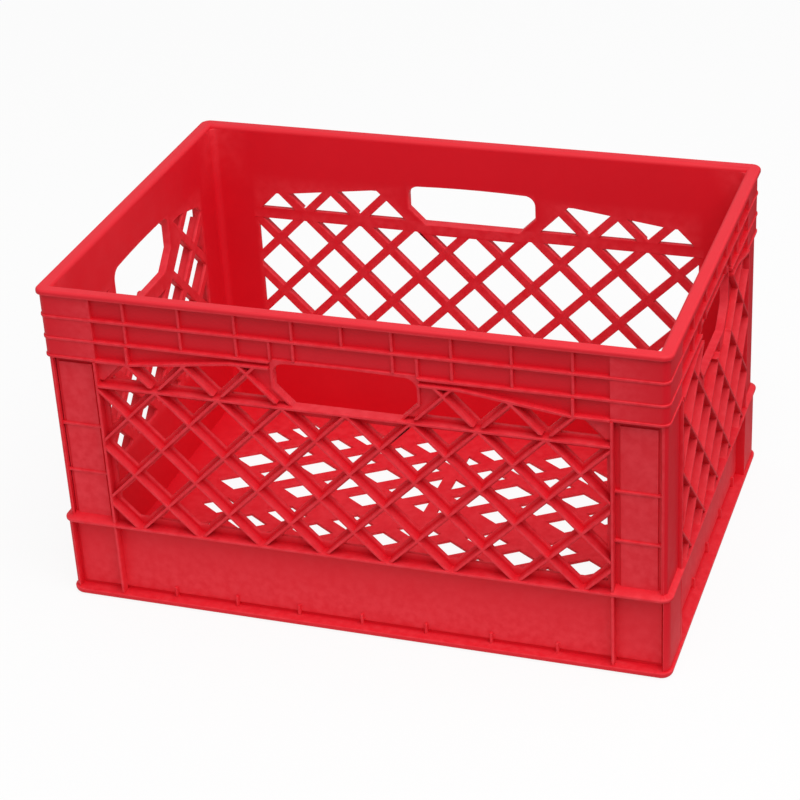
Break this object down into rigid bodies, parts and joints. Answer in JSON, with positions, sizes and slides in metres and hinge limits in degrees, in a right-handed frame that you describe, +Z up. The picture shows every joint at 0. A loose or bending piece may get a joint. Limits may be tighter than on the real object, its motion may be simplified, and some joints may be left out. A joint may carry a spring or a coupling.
{
  "type": "plastic crate",
  "caption": "Open-top rectangular plastic crate with diamond lattice walls and floor, hand holes in all four sides, ribbed rim and solid base band.",
  "frame": {"origin": "centre of the underside, in the plane of the foot", "axes": "+X along the long side, +Y from the front wall to the rear wall, +Z up"},
  "size_m": [0.478, 0.332, 0.2665],
  "materials": {
    "crate_plastic": "satin moulded, red"
  },
  "bodies": {
    "root": {"arch_panel_a_front": "crate_plastic", "arch_panel_a_left": "crate_plastic", "arch_panel_a_rear": "crate_plastic", "arch_panel_a_right": "crate_plastic", "arch_panel_b_front": "crate_plastic", "arch_panel_b_left": "crate_plastic", "arch_panel_b_rear": "crate_plastic", "arch_panel_b_right": "crate_plastic", "base_corner_front_left": "crate_plastic", "base_corner_front_right": "crate_plastic", "base_corner_rear_left": "crate_plastic", "base_corner_rear_right": "crate_plastic", "base_wall_front": "crate_plastic", "base_wall_left": "crate_plastic", "base_wall_rear": "crate_plastic", "base_wall_right": "crate_plastic", "corner_post_front_left": "crate_plastic", "corner_post_front_right": "crate_plastic", "corner_post_rear_left": "crate_plastic", "corner_post_rear_right": "crate_plastic", "floor_grid": "crate_plastic", "grip_rail_front": "crate_plastic", "grip_rail_rear": "crate_plastic", "handle_frame_front": "crate_plastic", "handle_frame_left": "crate_plastic", "handle_frame_rear": "crate_plastic", "handle_frame_right": "crate_plastic", "handle_web_left": "crate_plastic", "handle_web_right": "crate_plastic", "lattice_panel_front": "crate_plastic", "lattice_panel_left": "crate_plastic", "lattice_panel_rear": "crate_plastic", "lattice_panel_right": "crate_plastic", "rim_corner_front_left": "crate_plastic", "rim_corner_front_right": "crate_plastic", "rim_corner_rear_left": "crate_plastic", "rim_corner_rear_right": "crate_plastic", "rim_wall_front": "crate_plastic", "rim_wall_left": "crate_plastic", "rim_wall_rear": "crate_plastic", "rim_wall_right": "crate_plastic", "top_lip_front": "crate_plastic", "top_lip_left": "crate_plastic", "top_lip_rear": "crate_plastic", "top_lip_right": "crate_plastic"}
  },
  "joints": []
}
